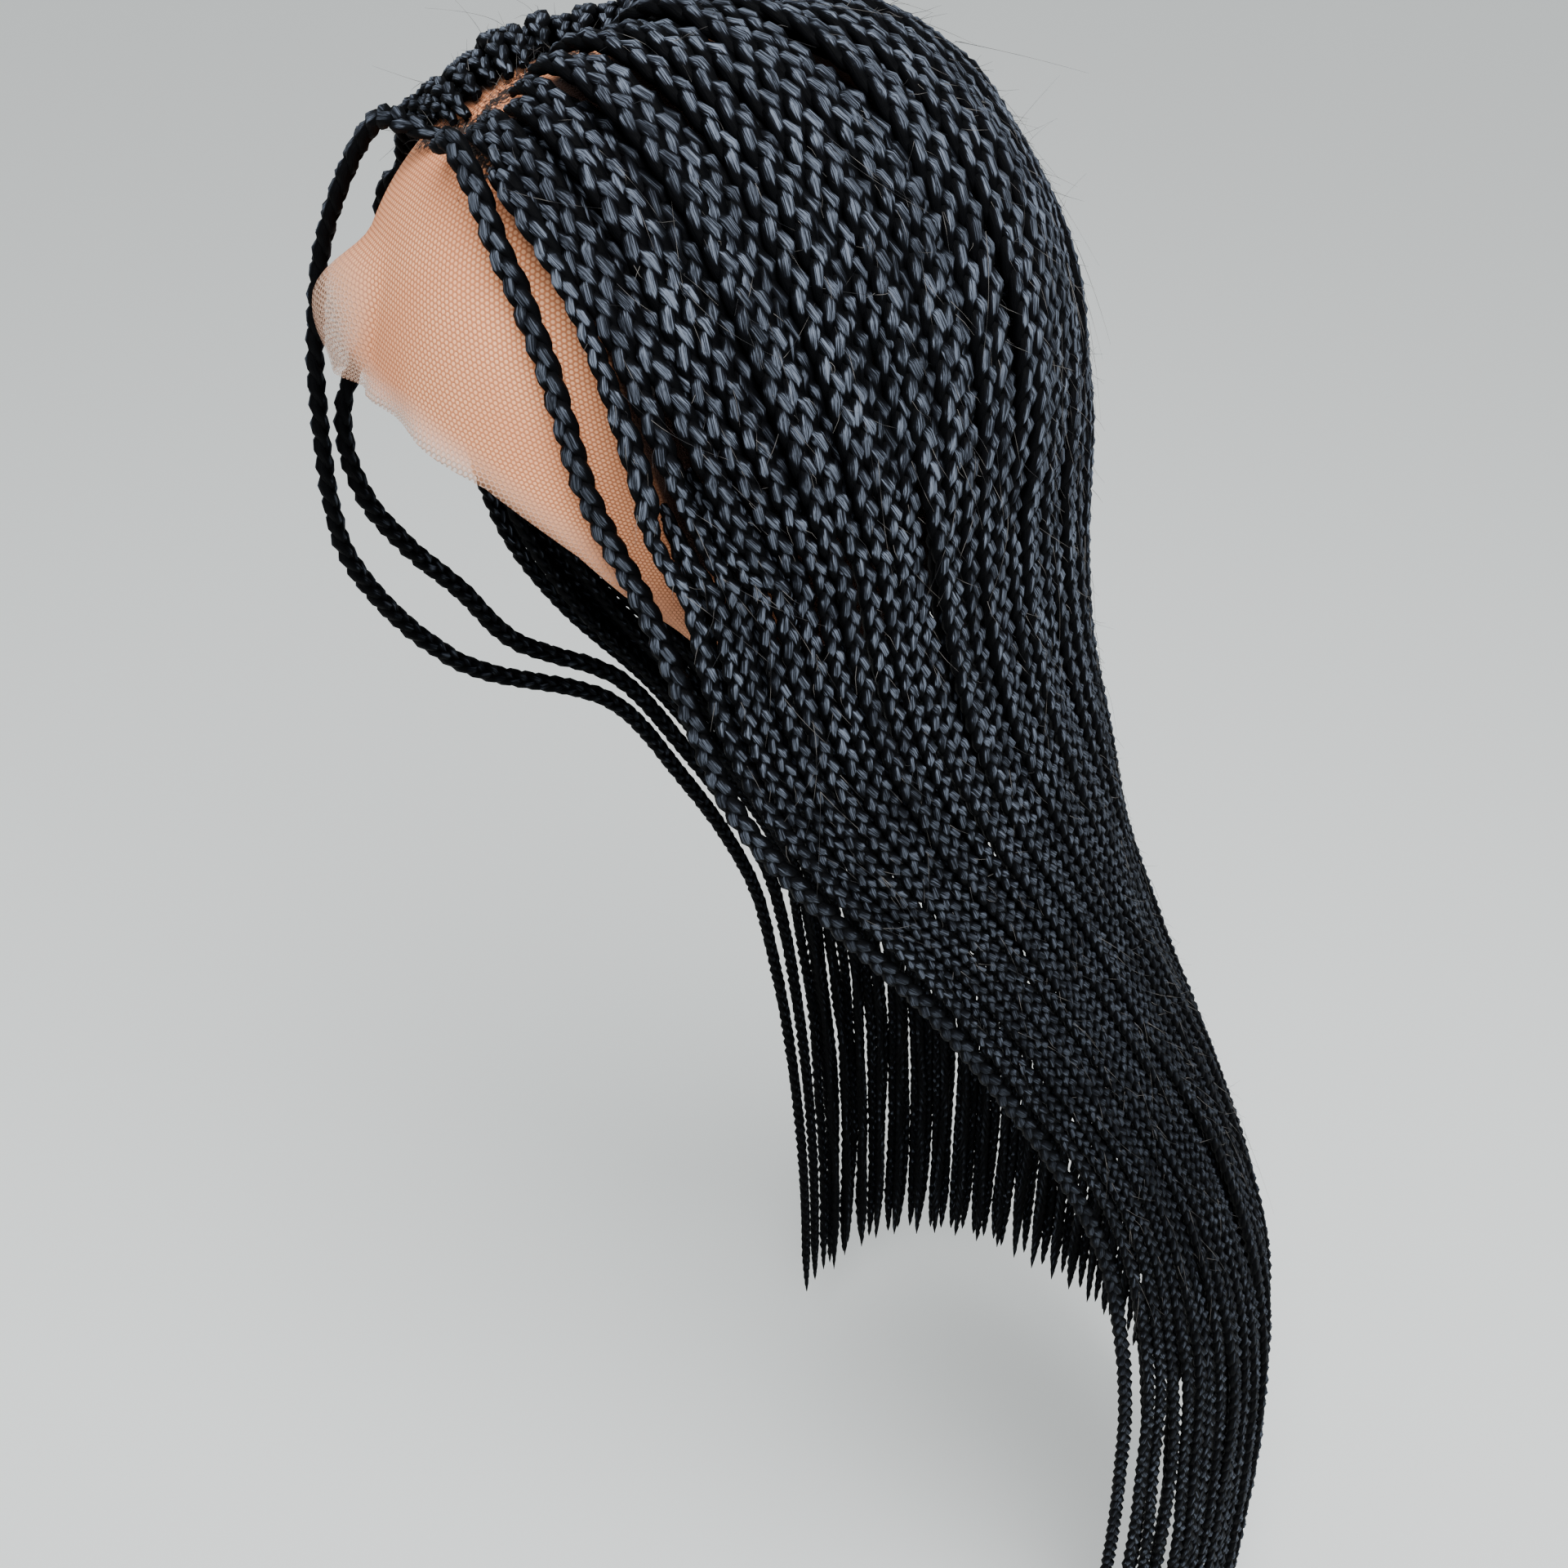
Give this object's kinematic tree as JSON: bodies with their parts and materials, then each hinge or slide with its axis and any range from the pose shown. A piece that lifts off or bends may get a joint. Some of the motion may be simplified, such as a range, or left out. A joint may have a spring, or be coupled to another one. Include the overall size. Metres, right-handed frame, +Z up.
{
  "type": "braid wig",
  "caption": "Long wig of black three-strand braids on a sheer tan lace cap, parted at the centre and swept back behind the shoulders, with loose braids beside the face.",
  "frame": {"origin": "inside top of the lace cap, where the wig sits on the crown of a head", "axes": "+Z up, the face looks to -Y, the wearer's left is +X"},
  "size_m": [0.2904, 0.3832, 0.7207],
  "materials": {
    "lace": "sheer tan net with fine round holes, matt",
    "braided_hair": "black fibre in three-strand braids with a soft blue-grey sheen"
  },
  "bodies": {
    "root": {"lace_cap": "lace", "face_plait_left": "braided_hair", "face_plait_right_inner": "braided_hair", "face_plait_right": "braided_hair", "left_front_lock_1": "braided_hair", "left_front_lock_2": "braided_hair", "left_front_lock_3": "braided_hair", "left_front_lock_4": "braided_hair", "left_front_lock_5": "braided_hair", "left_front_lock_6": "braided_hair", "left_side_lock_1": "braided_hair", "left_side_lock_2": "braided_hair", "left_side_lock_3": "braided_hair", "left_side_lock_4": "braided_hair", "left_side_lock_5": "braided_hair", "left_side_lock_6": "braided_hair", "left_back_lock_1": "braided_hair", "left_back_lock_2": "braided_hair", "left_back_lock_3": "braided_hair", "left_back_lock_4": "braided_hair", "left_back_lock_5": "braided_hair", "left_back_lock_6": "braided_hair", "right_front_lock_1": "braided_hair", "right_front_lock_2": "braided_hair", "right_front_lock_3": "braided_hair", "right_front_lock_4": "braided_hair", "right_front_lock_5": "braided_hair", "right_front_lock_6": "braided_hair", "right_side_lock_1": "braided_hair", "right_side_lock_2": "braided_hair", "right_side_lock_3": "braided_hair", "right_side_lock_4": "braided_hair", "right_side_lock_5": "braided_hair", "right_side_lock_6": "braided_hair", "right_back_lock_1": "braided_hair", "right_back_lock_2": "braided_hair", "right_back_lock_3": "braided_hair", "right_back_lock_4": "braided_hair", "right_back_lock_5": "braided_hair", "right_back_lock_6": "braided_hair"}
  },
  "joints": []
}
